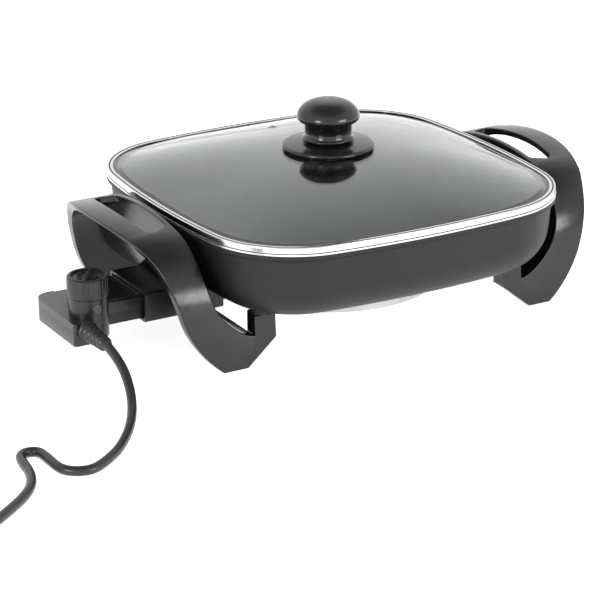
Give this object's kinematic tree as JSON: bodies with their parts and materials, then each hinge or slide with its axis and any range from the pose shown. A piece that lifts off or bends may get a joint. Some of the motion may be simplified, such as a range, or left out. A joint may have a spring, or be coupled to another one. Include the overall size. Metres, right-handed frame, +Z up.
{
  "type": "electric skillet",
  "caption": "Covered electric skillet: square non-stick pan on arched handle legs, domed glass lid with knob, and a plug-in heat control with dial, probe and cord.",
  "frame": {"origin": "centre of the footprint of the skillet with its heat control, on the surface it stands on", "axes": "+X to the user's right along the handles, +Y away from the user, +Z up"},
  "size_m": [0.689, 0.426, 0.1636],
  "materials": {
    "pan_coating": "matt non-stick coating on cast aluminium",
    "heater_casting": "bare die-cast",
    "element_sheath": "dull",
    "pin_steel": "bright",
    "ceramic": "fired ceramic, unglazed",
    "bright_steel": "bright zinc",
    "guard_phenolic": "moulded phenolic",
    "handle_phenolic": "polished phenolic moulding",
    "rim_steel": "polished stainless steel",
    "lid_glass": "clear tempered",
    "knob_phenolic": "polished phenolic moulding",
    "insert_brass": "turned",
    "silicone": "soft silicone",
    "control_plastic": "fine texture",
    "dial_plastic": "satin",
    "insulator_plastic": "moulded phenolic",
    "spring_bronze": "rolled",
    "lens_plastic": "tinted, polished",
    "lamp_glass": "clear",
    "wire_insulation": "woven sleeve",
    "cord_jacket": "smooth jacket",
    "plug_vinyl": "moulded vinyl",
    "blade_brass": "stamped, nickel flash"
  },
  "bodies": {
    "pan": {"pan": "pan_coating", "heater_plate": "heater_casting", "heating_element": "element_sheath", "terminal_pins": "pin_steel", "terminal_insulators": "ceramic", "probe_sleeve": "bright_steel", "heater_screws": "bright_steel", "socket_guard": "guard_phenolic", "guard_screws": "bright_steel", "right_handle": "handle_phenolic", "left_handle": "handle_phenolic", "right_handle_screws": "bright_steel", "left_handle_screws": "bright_steel"},
    "lid": {"lid_rim": "rim_steel", "lid_glass": "lid_glass", "vent_eyelet": "rim_steel", "knob_skirt": "knob_phenolic", "lid_knob": "knob_phenolic", "knob_insert": "insert_brass", "knob_gasket": "silicone", "knob_washer": "bright_steel", "knob_screw": "bright_steel"},
    "heat_control": {"control_base": "control_plastic", "control_cover": "control_plastic", "cover_screws": "bright_steel", "contact_carrier": "insulator_plastic", "contact_sleeves": "spring_bronze", "probe": "bright_steel", "thermostat_blades": "spring_bronze", "blade_contacts": "blade_brass", "shaft_bushing": "bright_steel", "indicator_lens": "lens_plastic", "indicator_lamp": "lamp_glass", "lead_wires": "wire_insulation", "cord_clamp": "insulator_plastic", "strain_relief": "plug_vinyl", "cord": "cord_jacket", "cord_coil": "cord_jacket", "cord_tie": "silicone", "plug_body": "plug_vinyl", "plug_blades": "blade_brass"},
    "dial": {"dial": "dial_plastic", "dial_shaft": "bright_steel"}
  },
  "joints": [
    {"name": "lid_lift", "type": "slide", "parent": "pan", "child": "lid", "axis": [0, 0, 1], "range_m": [0, 0.12]},
    {"name": "control_unplug", "type": "slide", "parent": "pan", "child": "heat_control", "axis": [-1, 0, 0], "range_m": [0, 0.12]},
    {"name": "dial_turn", "type": "hinge", "parent": "heat_control", "child": "dial", "pos_m": [-0.20315, -0.027, 0.06], "axis": [0, 0, 1], "range_deg": [-290, 0]}
  ]
}
